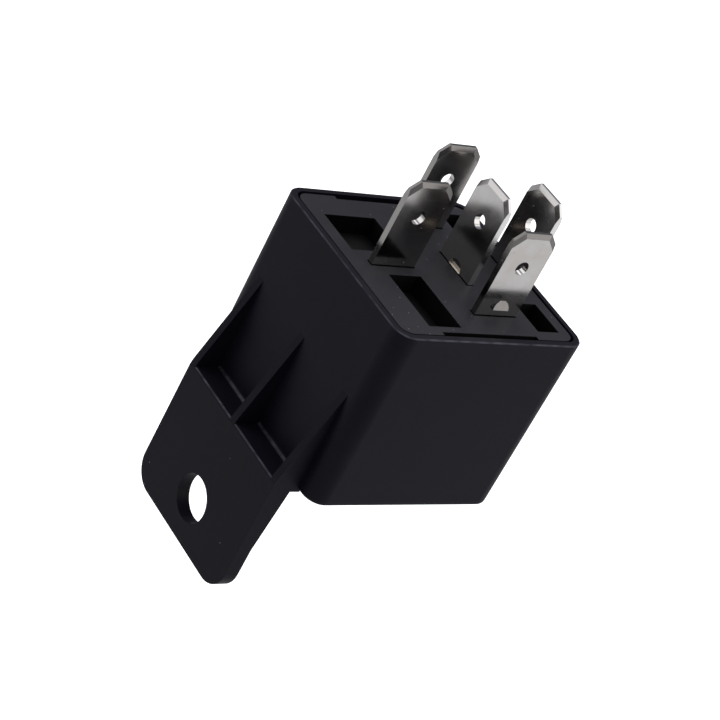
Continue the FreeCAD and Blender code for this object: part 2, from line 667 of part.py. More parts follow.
def rest_point(x, depth):
    """Where a point of the armature lies at rest, from its place and depth when pulled in."""
    tilt = math.radians(REST_TILT_DEG)
    along = x - HINGE_X
    return Vector(HINGE_X + along * math.cos(tilt) - depth * math.sin(tilt), 0,
                  POLE_FACE_Z - along * math.sin(tilt) - depth * math.cos(tilt))


def round_heel(reach, degrees):
    """A point at a distance from the centre of the armature's rounded heel, at an angle from +X."""
    centre = rest_point(HINGE_X + HEEL_ROUND, ARMATURE_THICK - HEEL_ROUND)
    angle = math.radians(degrees)
    return centre + Vector(math.cos(angle), 0, math.sin(angle)) * reach


def leaf_corner():
    """The spring's bend round the armature's heel, between its leg and its arm."""
    middle = LEAF_THICK / 2
    reach = HEEL_ROUND + middle + HEEL_CLEARANCE
    leg_x = YOKE_X - middle
    arm_depth = ARMATURE_THICK + middle
    route = [Vector(leg_x, 0, POLE_FACE_Z + LEAF_ROOT_LIFT), Vector(leg_x, 0, POLE_FACE_Z - LEAF_ROOT_RUN)]
    route += [round_heel(reach, angle) for angle in LEAF_TURN_DEG]
    arm_x = HINGE_X + LEAF_ARM_START
    route += [rest_point(arm_x - LEAF_ARM_RUN, arm_depth), rest_point(arm_x, arm_depth)]
    return bent_strip(route, LEAF_THICK, LEAF_WIDTH)


def bent_strip(route, thick, width):
    """A strip of even thickness whose middle follows points in the XZ plane.

    Its first and last runs are straight, and one smooth curve joins them.
    """
    last = len(route) - 1
    ways = [route[min(i + 1, last)] - route[max(i - 1, 0)] for i in range(len(route))]
    ways[1] = route[1] - route[0]
    ways[last - 1] = route[last] - route[last - 1]
    sides = []
    for side in (1, -1):
        points = []
        for point, way in zip(route, ways):
            aside = Vector(way.z, 0, -way.x).normalize() * (side * thick / 2)
            points.append(point + aside + Vector(0, -width / 2, 0))
        curve = Part.BSplineCurve()
        curve.interpolate(points[1:-1])
        sides.append([points[0]] + curve.toShape().discretize(Number=BEND_STEPS + 1) + [points[-1]])
    outline = sides[0] + sides[1][::-1]
    return Part.Face(Part.makePolygon(outline + outline[:1])).extrude(Vector(0, width, 0))


def make_contact_spring():
    """The L-shaped leaf spring that is hinge, return spring and contact arm in one."""
    return leaf_root().fuse([leaf_corner(), leaf_blade()]).removeSplitter()


def rivet(foot, way, length):
    """A small rivet: a flat head of set height at the foot, then its shank along the way."""
    head = Part.makeCylinder(RIVET_HEAD_RADIUS, RIVET_HEAD, foot - way * RIVET_HEAD, way)
    return head.fuse(Part.makeCylinder(RIVET_RADIUS, length, foot, way)).removeSplitter()


def make_armature_rivets():
    """Two rivets that hold the spring to the armature."""
    foot_z = POLE_FACE_Z - ARMATURE_THICK - LEAF_THICK
    pieces = [rivet(Vector(ARMATURE_RIVET_X, y, foot_z), Vector(0, 0, 1), ARMATURE_THICK + LEAF_THICK)
              for y in (-RIVET_SPREAD, RIVET_SPREAD)]
    return at_rest(Part.makeCompound(pieces))


def make_spring_rivets():
    """Two rivets that hold the spring's leg to the yoke."""
    pieces = [rivet(Vector(YOKE_X - LEAF_THICK, y, YOKE_RIVET_Z), Vector(1, 0, 0), STEEL + LEAF_THICK)
              for y in (-RIVET_SPREAD, RIVET_SPREAD)]
    return Part.makeCompound(pieces)


def make_moving_contact():
    """The double-headed contact rivet at the end of the spring."""
    top = POLE_FACE_Z - ARMATURE_THICK
    upper = contact_button(CONTACT_X, top, 1)
    lower = contact_button(CONTACT_X, top - LEAF_THICK, -1)
    neck = Part.makeCylinder(CONTACT_NECK_RADIUS, LEAF_THICK, Vector(CONTACT_X, 0, top - LEAF_THICK))
    return at_rest(upper.fuse([neck, lower]).removeSplitter())


def make_braid():
    """The copper braid from the spring's leg, under the armature, to the spring's contact end."""
    half = BRAID_THICK / 2
    leg_x = YOKE_X - LEAF_THICK - half
    arm_depth = ARMATURE_THICK + LEAF_THICK + half
    reach = HEEL_ROUND + LEAF_THICK + BRAID_THICK
    route = [Vector(leg_x, 0, BRAID_TOP_Z), Vector(leg_x, 0, POLE_FACE_Z - 0.3)]
    route += [round_heel(reach, 205), round_heel(reach + BRAID_SLACK / 4, 235)]
    route += [rest_point(x, arm_depth + BRAID_SLACK * share) for x, share in BRAID_SAG]
    route += [rest_point(BRAID_END_X - BRAID_END_RUN, arm_depth), rest_point(BRAID_END_X, arm_depth)]
    return bent_strip(route, BRAID_THICK, BRAID_WIDTH)


def parts():
    """Every piece of the relay, by the name of its file."""
    low, high = winding_span()
    bore = CORE_RADIUS + SLOT_CLEARANCE
    return {
        "cover": make_cover(),
        "base_plate": make_base_plate(),
        "terminal_30": make_terminal_30(),
        "terminal_85": make_coil_terminal("85", -1),
        "terminal_86": make_coil_terminal("86", 1),
        "terminal_87": make_terminal_87(),
        "terminal_87a": make_terminal_87a(),
        "yoke": make_yoke(),
        "core": make_core(),
        "bobbin": make_bobbin(),
        "winding": ring(bore + BOBBIN_WALL, WINDING_RADIUS, low, high),
        "winding_tape": ring(WINDING_RADIUS, WINDING_RADIUS + TAPE_THICK,
                             low + TAPE_MARGIN, high - TAPE_MARGIN),
        "coil_lead_85": make_coil_lead(-1),
        "coil_lead_86": make_coil_lead(1),
        "armature": make_armature(),
        "contact_spring": make_contact_spring(),
        "armature_rivets": make_armature_rivets(),
        "spring_rivets": make_spring_rivets(),
        "moving_contact": make_moving_contact(),
        "normally_open_contact": make_fixed_contact(open_apex(), -1),
        "normally_closed_contact": make_fixed_contact(closed_apex(), 1),
        "braid": make_braid(),
    }


def main():
    """Builds every piece and writes it to its own file."""
    os.makedirs("parts", exist_ok=True)
    for name, shape in parts().items():
        if not shape.isValid():
            print("invalid", name)
        print(name, len(shape.Solids), round(shape.Volume, 1))
        shape.exportStep("parts/" + name + ".step")


main()
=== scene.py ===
"""Dresses a five-blade automotive relay with a moulded mounting tab and sets it in a plain studio."""
import logging
import math
from dataclasses import dataclass, field, replace
from enum import Enum
from typing import Any, Dict, List, Optional, Sequence, Tuple, Union

import bmesh
import bpy
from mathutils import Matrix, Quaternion, Vector


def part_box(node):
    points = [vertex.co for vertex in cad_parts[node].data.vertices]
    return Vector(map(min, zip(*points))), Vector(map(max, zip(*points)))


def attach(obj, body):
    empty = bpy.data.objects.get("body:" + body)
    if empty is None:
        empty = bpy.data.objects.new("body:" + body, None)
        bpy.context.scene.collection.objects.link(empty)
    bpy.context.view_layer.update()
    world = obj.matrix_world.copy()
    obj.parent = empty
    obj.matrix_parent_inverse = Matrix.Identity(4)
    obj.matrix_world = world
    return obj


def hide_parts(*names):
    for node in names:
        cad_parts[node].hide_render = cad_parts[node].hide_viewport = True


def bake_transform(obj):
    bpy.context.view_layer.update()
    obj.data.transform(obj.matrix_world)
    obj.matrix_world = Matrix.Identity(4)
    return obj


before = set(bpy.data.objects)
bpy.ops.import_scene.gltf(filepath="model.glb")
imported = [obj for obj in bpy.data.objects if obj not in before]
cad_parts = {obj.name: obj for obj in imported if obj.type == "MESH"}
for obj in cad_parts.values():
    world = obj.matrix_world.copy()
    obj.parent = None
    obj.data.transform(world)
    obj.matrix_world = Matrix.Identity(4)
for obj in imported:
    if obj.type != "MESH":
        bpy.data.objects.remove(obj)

LOG = logging.getLogger("relay")
MM = 0.001
WHITE = "#ffffff"
# Nearly all of a noise pattern's values lie between these.
NOISE_RANGE = (0.3, 0.7)
# A mask is 0 or 1, and this limit tells the two apart.
MASK_LIMIT = 0.5

Colour = Tuple[float, float, float, float]
Tree = bpy.types.NodeTree
Socket = bpy.types.NodeSocket


class Body(Enum):
    """The relay's two rigid groups."""

    HOUSING = "housing"
    ARMATURE = "armature"


class Slot(Enum):
    """Material slots of the record that the new pieces stand for."""

    WIRE = "copper_wire"
    SPRING = "spring_alloy"
    BRAID = "copper_braid"


def linear(hex_code: str) -> Colour:
    """Turns an sRGB hex colour into the linear one that shaders use.

    Args:
        hex_code: Six hex digits after a hash sign.

    Returns:
        Red, green, blue and alpha.
    """
    values = []
    for start in (1, 3, 5):
        value = int(hex_code[start:start + 2], 16) / 255
        values.append(value / 12.92 if value <= 0.04045 else ((value + 0.055) / 1.055) ** 2.4)
    return (values[0], values[1], values[2], 1.0)


def per_metre(size_mm: float) -> float:
    """Gives the texture scale at which a pattern repeats about once in a size in millimetres."""
    return 1.0 / (size_mm * MM)


def add_node(tree: Tree, kind: str, settings: Optional[Dict[str, Any]] = None,
             links: Optional[Dict[str, Socket]] = None) -> bpy.types.Node:
    """Adds a node to a tree, sets it up and links its inputs.

    Args:
        tree: The node tree that takes the node.
        kind: Blender's name for the kind of node.
        settings: Values by input socket's name or "#" and number, or by the node's own setting.
        links: Output sockets of other nodes, by the name or number of the input that they feed.

    Returns:
        The new node.
    """
    node = tree.nodes.new(kind)
    numbered = {"#" + str(index): socket for index, socket in enumerate(node.inputs)}
    for key, value in (settings or {}).items():
        if key in numbered:
            numbered[key].default_value = value
        elif key in node.inputs:
            node.inputs[key].default_value = value
        else:
            setattr(node, key, value)
    for key, socket in (links or {}).items():
        tree.links.new(socket, numbered[key] if key in numbered else node.inputs[key])
    return node


def new_material(name: str) -> Tuple[bpy.types.Material, Tree, Socket]:
    """Makes an empty node material.

    Args:
        name: The material's name.

    Returns:
        The material, its node tree and the output's surface socket.
    """
    material = bpy.data.materials.new(name)
    material.use_nodes = True
    tree = material.node_tree
    tree.nodes.clear()
    output = tree.nodes.new("ShaderNodeOutputMaterial")
    return material, tree, output.inputs["Surface"]


def clouded(tree: Tree, pattern: Socket, tones: Tuple[str, str], gloss: Tuple[float, float],
            ends: Tuple[float, float]) -> Tuple[Socket, Socket]:
    """Lets one cloudy pattern change a surface's colour and its gloss together.

    Args:
        tree: The node tree.
        pattern: The pattern's value.
        tones: Hex colours where the pattern is low and where it is high.
        gloss: Roughness where the pattern is low and where it is high.
        ends: Values of the pattern at which the two tones are pure.

    Returns:
        The colour and roughness sockets.
    """
    ramp = add_node(tree, "ShaderNodeValToRGB", links={"Fac": pattern})
    for element, position, tone in zip(ramp.color_ramp.elements, ends, tones):
        element.position = position
        element.color = linear(tone)
    rough = add_node(tree, "ShaderNodeMapRange", {"From Min": NOISE_RANGE[0], "From Max": NOISE_RANGE[1],
                                                  "To Min": gloss[0], "To Max": gloss[1]},
                     {"Value": pattern})
    return ramp.outputs["Color"], rough.outputs["Result"]


def painted(tree: Tree, ground: Socket, layers: Sequence[Tuple[Socket, str]]) -> Socket:
    """Covers a ground colour with others, each where its mask is 1.

    Args:
        tree: The node tree.
        ground: The ground colour's socket.
        layers: For each, the mask's socket and the hex colour that shows there, undermost first.

    Returns:
        The colour socket.
    """
    skin = ground
    for mask, colour in layers:
        mix = add_node(tree, "ShaderNodeMix", {"data_type": "RGBA", "#7": linear(colour)},
                       {"#0": mask, "#6": skin})
        skin = mix.outputs[2]
    return skin


def all_of(tree: Tree, tests: Sequence[Tuple[Socket, str, float]]) -> Socket:
    """Joins comparisons into a mask that is 1 where every one of them holds.

    Args:
        tree: The node tree.
        tests: For each, the value's socket, the kind of comparison and the limit.

    Returns:
        The mask's socket.
    """
    mask = None
    for socket, kind, limit in tests:
        test = add_node(tree, "ShaderNodeMath", {"operation": kind, "#1": limit}, {"#0": socket})
        if mask is not None:
            test = add_node(tree, "ShaderNodeMath", {"operation": "MULTIPLY"},
                            {"#0": mask, "#1": test.outputs[0]})
        mask = test.outputs[0]
    return mask


def normal_and_place(tree: Tree, place: Socket) -> Tuple[bpy.types.Node, bpy.types.Node]:
    """Splits the surface's normal and its coordinates into their parts.

    Args:
        tree: The node tree.
        place: Coordinates in metres.

    Returns:
        The nodes with the X, Y and Z outputs of the normal and of the coordinates.
    """
    facing = add_node(tree, "ShaderNodeNewGeometry")
    way = add_node(tree, "ShaderNodeSeparateXYZ", links={"Vector": facing.outputs["Normal"]})
    return way, add_node(tree, "ShaderNodeSeparateXYZ", links={"Vector": place})


def specks(tree: Tree, place: Socket, spacing_mm: float, size_mm: float, share: float) -> Socket:
    """Scatters round specks.

    Args:
        tree: The node tree.
        place: Coordinates in metres.
        spacing_mm: Side of the cells that hold one speck at most.
        size_mm: A speck's width.
        share: Share of the cells that hold one.

    Returns:
        The socket of a mask that is 1 on the specks.
    """
    cells = add_node(tree, "ShaderNodeTexVoronoi", {"Scale": per_metre(spacing_mm)}, {"Vector": place})
    pick = add_node(tree, "ShaderNodeSeparateColor", links={"Color": cells.outputs["Color"]})
    return all_of(tree, [(cells.outputs["Distance"], "LESS_THAN", size_mm / spacing_mm / 2),
                         (pick.outputs[0], "LESS_THAN", share)])


@dataclass(frozen=True)
class MouldedPlastic:
    """Thermoplastic, injection moulded in a steel tool.

    The tool's fine pitting leaves a satin skin: broad soft highlights and no mirror image. The
    melt's flow leaves faint cloudy changes of gloss a few millimetres across, the narrow edge
    rounds that tilt upward get a paler colour in patches as a painted highlight, painted shade can
    darken all that lies below a given height, and a few specks of dust cling to it.
    """

    name: str
    tone: str
    cloud: str
    roughness: float
    gloss_change: float
    pit_mm: float = 0.16
    pit_depth_mm: float = 0.006
    pit_strength: float = 0.35
    cloud_mm: float = 7.0
    cloud_ends: Tuple[float, float] = (0.35, 0.65)
    specular: float = 0.1
    ior: float = 1.5
    dust: str = "#6d6c70"
    dust_spacing_mm: float = 1.6
    dust_mm: float = 0.16
    dust_share: float = 0.04
    # Painted shade: this near black goes on all that lies below the given height, the pockets among it.
    pocket_shade: str = "#0a0a0b"
    pocket_shade_below_mm: Optional[float] = None
    # Painted highlight: this paler colour goes on the upward-tilted edge rounds, in patches.
    edge_highlight: str = "#46454c"
    highlight_from: float = 0.5
    highlight_to: float = 0.93
    highlight_above_mm: float = 5.0
    highlight_patch_mm: float = 1.3
    highlight_least: float = 0.2

    def skin(self, tree: Tree, place: Socket, ground: Socket) -> Socket:
        """Lays dust and the painted edge highlight on the moulding's colour, and paints shade on all
        that lies below a given height.

        Args:
            tree: The node tree.
            place: Coordinates in metres.
            ground: Socket of the moulding's own colour.

        Returns:
            The colour socket.
        """
        layers = [(specks(tree, place, self.dust_spacing_mm, self.dust_mm, self.dust_share), self.dust),
                  (self.painted_edge_highlights(tree, place), self.edge_highlight)]
        # Painted shade on all that lies below the given height.
        if self.pocket_shade_below_mm is not None:
            _, spot = normal_and_place(tree, place)
            pocket_shade = all_of(tree, [(spot.outputs["Z"], "LESS_THAN", self.pocket_shade_below_mm * MM)])
            layers.append((pocket_shade, self.pocket_shade))
        return painted(tree, ground, layers)

    def painted_edge_highlights(self, tree: Tree, place: Socket) -> Socket:
        """Finds the narrow rounds between upright and level faces, where a highlight is painted in patches.

        Args:
            tree: The node tree.
            place: Coordinates in metres.

        Returns:
            The socket of a mask, up to 1 where the painted highlight is strongest.
        """
        way, spot = normal_and_place(tree, place)
        patches = add_node(tree, "ShaderNodeTexNoise", {"Scale": per_metre(self.highlight_patch_mm)},
                           {"Vector": place})
        highlight_patchiness = add_node(tree, "ShaderNodeMapRange", {"From Min": NOISE_RANGE[0], "From Max": NOISE_RANGE[1],
                                                     "To Min": self.highlight_least, "To Max": 1.0},
                        {"Value": patches.outputs["Fac"]})
        # The painted highlight goes on faces tilted upward, above a given height.
        edges = all_of(tree, [(way.outputs["Z"], "GREATER_THAN", self.highlight_from),
                              (way.outputs["Z"], "LESS_THAN", self.highlight_to),
                              (spot.outputs["Z"], "GREATER_THAN", self.highlight_above_mm * MM)])
        edge_highlight = add_node(tree, "ShaderNodeMath", {"operation": "MULTIPLY"},
                          {"#0": edges, "#1": highlight_patchiness.outputs["Result"]})
        return edge_highlight.outputs[0]

    def material(self) -> bpy.types.Material:
        """Builds the moulding's material.

        Returns:
            The material.
        """
        material, tree, surface = new_material(self.name)
        place = add_node(tree, "ShaderNodeTexCoord").outputs["Object"]
        clouds = add_node(tree, "ShaderNodeTexNoise", {"Scale": per_metre(self.cloud_mm), "Detail": 3.0,
                                                       "Roughness": 0.55}, {"Vector": place})
        pits = add_node(tree, "ShaderNodeTexNoise", {"Scale": per_metre(self.pit_mm), "Detail": 2.0,
                                                     "Roughness": 0.6}, {"Vector": place})
        bump = add_node(tree, "ShaderNodeBump", {"Strength": self.pit_strength,
                                                 "Distance": self.pit_depth_mm * MM},
                        {"Height": pits.outputs["Fac"]})
        tone, gloss = clouded(tree, clouds.outputs["Fac"], (self.tone, self.cloud),
                              (self.roughness, self.roughness + self.gloss_change), self.cloud_ends)
        shader = add_node(
            tree, "ShaderNodeBsdfPrincipled", {"Specular IOR Level": self.specular, "IOR": self.ior},
            {"Base Color": self.skin(tree, place, tone), "Roughness": gloss,
             "Normal": bump.outputs["Normal"]})
        tree.links.new(shader.outputs["BSDF"], surface)
        return material


@dataclass(frozen=True)
class RolledMetal:
    """Metal strip or bar as it leaves the rolls, plain or plated.

    Rolling draws fine lines along Z, which stretch the highlights; plating softens them and adds
    faint clouds.
    """

    name: str
    tone: str
    cloud: str
    roughness: float
    line_mm: float = 0.22
    line_stretch: float = 22.0
    line_depth_mm: float = 0.0012
    line_strength: float = 0.5
    cloud_mm: float = 3.0
    gloss_change: float = 0.07

    def skin(self, tree: Tree, place: Socket, ground: Socket) -> Socket:
        """Returns the metal's own colour, because nothing lies on it."""
        return ground

    def dull(self, tree: Tree, place: Socket) -> Optional[Socket]:
        """Returns the mask of what doesn't mirror, which plain metal has none of."""
        return None

    def material(self) -> bpy.types.Material:
        """Builds the metal's material.

        Returns:
            The material.
        """
        material, tree, surface = new_material(self.name)
        place = add_node(tree, "ShaderNodeTexCoord").outputs["Object"]
        along_strip = add_node(tree, "ShaderNodeMapping", {"Scale": (1.0, 1.0, 1.0 / self.line_stretch)},
                               {"Vector": place})
        lines = add_node(tree, "ShaderNodeTexNoise", {"Scale": per_metre(self.line_mm), "Detail": 4.0,
                                                      "Roughness": 0.65},
                         {"Vector": along_strip.outputs["Vector"]})
        clouds = add_node(tree, "ShaderNodeTexNoise", {"Scale": per_metre(self.cloud_mm), "Detail": 4.0,
                                                       "Roughness": 0.6}, {"Vector": place})
        bump = add_node(tree, "ShaderNodeBump", {"Strength": self.line_strength,
                                                 "Distance": self.line_depth_mm * MM},
                        {"Height": lines.outputs["Fac"]})
        tone, gloss = clouded(tree, clouds.outputs["Fac"], (self.tone, self.cloud),
                              (self.roughness, self.roughness + self.gloss_change), NOISE_RANGE)
        links = {"Base Color": self.skin(tree, place, tone), "Roughness": gloss,
                 "Normal": bump.outputs["Normal"]}
        dull = self.dull(tree, place)
        if dull is not None:
            metal = add_node(tree, "ShaderNodeMath", {"operation": "SUBTRACT", "#0": 1.0}, {"#1": dull})
            links["Metallic"] = metal.outputs[0]
        shader = add_node(tree, "ShaderNodeBsdfPrincipled", {"Metallic": 1.0}, links)
        tree.links.new(shader.outputs["BSDF"], surface)
        return material


@dataclass(frozen=True)
class PlatedBlade(RolledMetal):
    """Tin-plated brass strip, cut to width by slitting, coined at its tip and pierced.

    The rolled faces, square to the across axis, mirror the room. The sides left by slitting, square
    to the level axis, and the coined bevels get tones of their own, set per blade direction: painted
    shade on the bevels and on the level blades' sides, painted light on the crosswise blades' sides.
    The punched hole's wall keeps the faces' tone, the lug's sheared edge shows its brass, paled
    almost to white as a painted highlight, and pale dust dots the faces.
    """

    across: str = "Y"
    level: str = "X"
    # Painted shade on the level blades' sides and bevels; the crosswise blades make the sides lighter than
    # the faces as painted light.
    slit_light_and_shade: str = "#8b8885"
    bevel_shade: str = "#686563"
    hole_low_mm: float = 41.2
    hole_high_mm: float = 43.4
    side_from: float = 0.99
    face_from: float = 0.97
    # The lug's brass, paled almost to white as a painted highlight.
    bare_brass_highlight: str = "#fff1da"
    shear_below_mm: float = 38.0
    up_from: float = 0.9
    dust: str = "#8b8988"
    dust_spacing_mm: float = 0.9
    dust_mm: float = 0.13
    dust_share: float = 0.4

    def skin(self, tree: Tree, place: Socket, ground: Socket) -> Socket:
        """Lays the dust, the painted light and shade of the edges, and the lug's brass with its painted
        highlight on the plating of the faces.

        Args:
            tree: The node tree.
            place: Coordinates in metres.
            ground: Socket of the faces' colour.

        Returns:
            The colour socket.
        """
        way, spot = normal_and_place(tree, place)
        height = spot.outputs["Z"]
        square, side = [add_node(tree, "ShaderNodeMath", {"operation": "ABSOLUTE"},
                                 {"#0": way.outputs[axis]}).outputs[0] for axis in (self.across, self.level)]
        punched = all_of(tree, [(height, "GREATER_THAN", self.hole_low_mm * MM),
                                (height, "LESS_THAN", self.hole_high_mm * MM)])
        # Masks of the sides and bevels that take painted light and shade.
        slit_light_and_shade = all_of(tree, [(side, "GREATER_THAN", self.side_from)])
        bevel_shade = all_of(tree, [(square, "LESS_THAN", self.face_from), (side, "LESS_THAN", self.side_from),
                              (punched, "LESS_THAN", MASK_LIMIT)])
        return painted(tree, ground, [(self.dusty(tree, place), self.dust), (slit_light_and_shade, self.slit_light_and_shade),
                                      (bevel_shade, self.bevel_shade), (self.shear(tree, place), self.bare_brass_highlight)])

    def shear(self, tree: Tree, place: Socket) -> Socket:
        """Returns the mask of the lug's sheared edge, which faces up low on the blade."""
        way, spot = normal_and_place(tree, place)
        return all_of(tree, [(way.outputs["Z"], "GREATER_THAN", self.up_from),
                             (spot.outputs["Z"], "LESS_THAN", self.shear_below_mm * MM)])

    def dusty(self, tree: Tree, place: Socket) -> Socket:
        """Returns the mask of the blade's dust."""
        return specks(tree, place, self.dust_spacing_mm, self.dust_mm, self.dust_share)

    def dull(self, tree: Tree, place: Socket) -> Optional[Socket]:
        """Returns the mask of the dust and the torn shear, which don't mirror."""
        return add_node(tree, "ShaderNodeMath", {"operation": "MAXIMUM"},
                        {"#0": self.dusty(tree, place), "#1": self.shear(tree, place)}).outputs[0]


@dataclass(frozen=True)
class ClearFilm:
    """Thin polyester film or enamel over a coloured ground: a clear gloss on a warm colour."""

    name: str
    tone: str
    cloud: str
    roughness: float
    metallic: float
    gloss_change: float = 0.1
    coat: float = 0.6
    coat_roughness: float = 0.08
    ripple_mm: float = 1.2
    ripple_depth_mm: float = 0.01
    ripple_strength: float = 0.4

    def material(self) -> bpy.types.Material:
        """Builds the film's material.

        Returns:
            The material.
        """
        material, tree, surface = new_material(self.name)
        place = add_node(tree, "ShaderNodeTexCoord").outputs["Object"]
        ripple = add_node(tree, "ShaderNodeTexNoise", {"Scale": per_metre(self.ripple_mm), "Detail": 3.0},
                          {"Vector": place})
        bump = add_node(tree, "ShaderNodeBump", {"Strength": self.ripple_strength,
                                                 "Distance": self.ripple_depth_mm * MM},
                        {"Height": ripple.outputs["Fac"]})
        tone, gloss = clouded(tree, ripple.outputs["Fac"], (self.tone, self.cloud),
                              (self.roughness, self.roughness + self.gloss_change), NOISE_RANGE)
        shader = add_node(
            tree, "ShaderNodeBsdfPrincipled",
            {"Metallic": self.metallic, "Coat Weight": self.coat, "Coat Roughness": self.coat_roughness},
            {"Base Color": tone, "Roughness": gloss, "Normal": bump.outputs["Normal"]})
        tree.links.new(shader.outputs["BSDF"], surface)
        return material


Finish = Union[MouldedPlastic, RolledMetal, ClearFilm]


# Moulded against an eroded tool: satin black, broad weak highlights and a painted highlight on
# the edge rounds. The real pits are about 0.03 mm across, too fine to show, so they are drawn
# coarser.
COVER_FINISH = MouldedPlastic("black_polyester_satin_moulded", "#121117", "#15131b", 0.42, 0.08,
                                specular=0.055)
# Moulded finer: greyer than the cover, with dust, and painted shade that darkens its pockets and all below
# its top face.
BASE_FINISH = MouldedPlastic("black_polyester_fine_moulded", "#242328", "#2c2a2d", 0.5, 0.08, pit_mm=0.12,
                               dust="#77767a", dust_spacing_mm=0.8, dust_mm=0.13, dust_share=0.4,
                               pocket_shade_below_mm=35.45)
# Rolled smooth and bright plated: a soft mirror that is dark where the room is dark. The rolls'
# lines are about 0.02 mm apart, too fine to show, so they are drawn coarser.
# Its edges carry painted shade and its lug's shear a painted highlight.
BLADE_FINISH = PlatedBlade("tin_plated_brass_strip", "#b8b6b5", "#aea9a4", 0.12, line_depth_mm=0.0004)
# The same strip for the blades that lie across the others, with painted light on their sides and lighter
# painted shade on their bevels.
CROSS_BLADE_FINISH = replace(BLADE_FINISH, name="tin_plated_brass_strip_crosswise", across="X",
                             level="Y", slit_light_and_shade="#d2cfcd", bevel_shade="#aaa7a5")
# Stamped soft iron, zinc plated: grey with a blurred shine.
STEEL_FINISH = RolledMetal("zinc_plated_soft_iron", "#c9cacb", "#b9babd", 0.3, line_stretch=6.0)
# Rolled bare copper alloy: warm, with a long narrow shine.
SPRING_FINISH = RolledMetal("rolled_copper_alloy_strip", "#d9a878", "#c9935f", 0.24)
# Pressed silver alloy: pale and satin, with no lines.
CONTACT_FINISH = RolledMetal("pressed_silver_alloy", "#dcdad4", "#cfccc4", 0.28, line_stretch=1.0)
# Drawn bare copper: every strand shows its own small highlight.
BRAID_FINISH = RolledMetal("bare_copper_braid", "#c97a4c", "#b4663c", 0.34, line_mm=0.12, line_stretch=3.0,
                           line_depth_mm=0.004)
# Natural nylon from a polished tool: creamy, with a soft gloss.
# Its edge rounds take the moulding's painted highlight in a paler cream.
BOBBIN_FINISH = MouldedPlastic("natural_nylon_moulded", "#cfc8b2", "#c4bca4", 0.4, 0.08, specular=0.5,
                                 dust="#dedacd", edge_highlight="#dad4c1")
# Enamel over copper: a deep red-brown under a clear gloss.
WIRE_FINISH = ClearFilm("enamelled_copper_wire", "#b4562a", "#9c4620", 0.22, 0.85)
# Thin film wound tight: amber, glossy, with slight ripples.
TAPE_FINISH = ClearFilm("polyester_coil_tape", "#c8a03a", "#bb922f", 0.3, 0.0)


@dataclass
class Dresser:
    """Gives carried-over nodes and new pieces their materials, and reports each one."""

    materials: Dict[str, bpy.types.Material] = field(default_factory=dict)

    def material(self, finish: Finish) -> bpy.types.Material:
        """Gives a finish's material, made the first time that it is asked for.

        Args:
            finish: The finish.

        Returns:
            Its material.
        """
        if finish.name not in self.materials:
            self.materials[finish.name] = finish.material()
        return self.materials[finish.name]

    def dress(self, node: str, finish: Finish) -> None:
        """Gives a node of the frame its finish.

        Args:
            node: The node's name.
            finish: The finish for its whole surface.
        """
        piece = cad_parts[node]
        piece.data.materials.clear()
        piece.data.materials.append(self.material(finish))
        LOG.info("dressed %s as %s", node, finish.name)

    def place(self, piece: bpy.types.Object, finish: Finish, slot: Slot, body: Optional[Body]) -> None:
        """Finishes a new piece and sets it riding on its body.

        Args:
            piece: The new object.
            finish: Its finish.
            slot: The record's slot that it stands for; not used.
            body: The body that it moves with, or None for a piece that rides on neither.
        """
        piece.data.materials.clear()
        piece.data.materials.append(self.material(finish))
        if body is not None:
            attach(piece, body.value)
        LOG.info("made %s with %d faces", piece.name, len(piece.data.polygons))


def new_piece(name: str, vertices: Sequence[Sequence[float]], faces: Sequence[Sequence[int]],
              smooth: bool = True) -> bpy.types.Object:
    """Makes a mesh object from points and faces.

    Args:
        name: The piece's name.
        vertices: Points in metres.
        faces: Corner indices of each face.
        smooth: Whether its faces are shaded smooth.

    Returns:
        The linked object.
    """
    mesh = bpy.data.meshes.new(name)
    mesh.from_pydata([tuple(point) for point in vertices], [], [tuple(face) for face in faces])
    mesh.validate()
    for polygon in mesh.polygons:
        polygon.use_smooth = smooth
    piece = bpy.data.objects.new(name, mesh)
    bpy.context.scene.collection.objects.link(piece)
    return piece


def copy_of(node: str, name: str) -> bpy.types.Object:
    """Makes a new piece from a copy of a node's mesh, for a form that has to bend at a joint.

    Args:
        node: The node of the frame.
        name: The new piece's name.

    Returns:
        The linked object.
    """
    piece = bpy.data.objects.new(name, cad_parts[node].data.copy())
    bpy.context.scene.collection.objects.link(piece)
    return piece


def turned(name: str, profile: Sequence[Tuple[float, float]], centre: Vector,
           segments: int) -> bpy.types.Object:
    """Revolves a closed profile about a line along Z.

    Args:
        name: The piece's name.
        profile: Points as (radius, height) in metres, in order round the section.
        centre: A point on the axis; its Z isn't used.
        segments: Steps round the axis.

    Returns:
        The linked object.
    """
    vertices = []
    faces = []
    count = len(profile)
    for step in range(segments):
        angle = 2 * math.pi * step / segments
        for radius, height in profile:
            vertices.append((centre.x + radius * math.cos(angle), centre.y + radius * math.sin(angle),
                             height))
        for i in range(count):
            after = (i + 1) % count
            other = (step + 1) % segments
            faces.append((step * count + i, other * count + i, other * count + after,
                          step * count + after))
    return new_piece(name, vertices, faces)


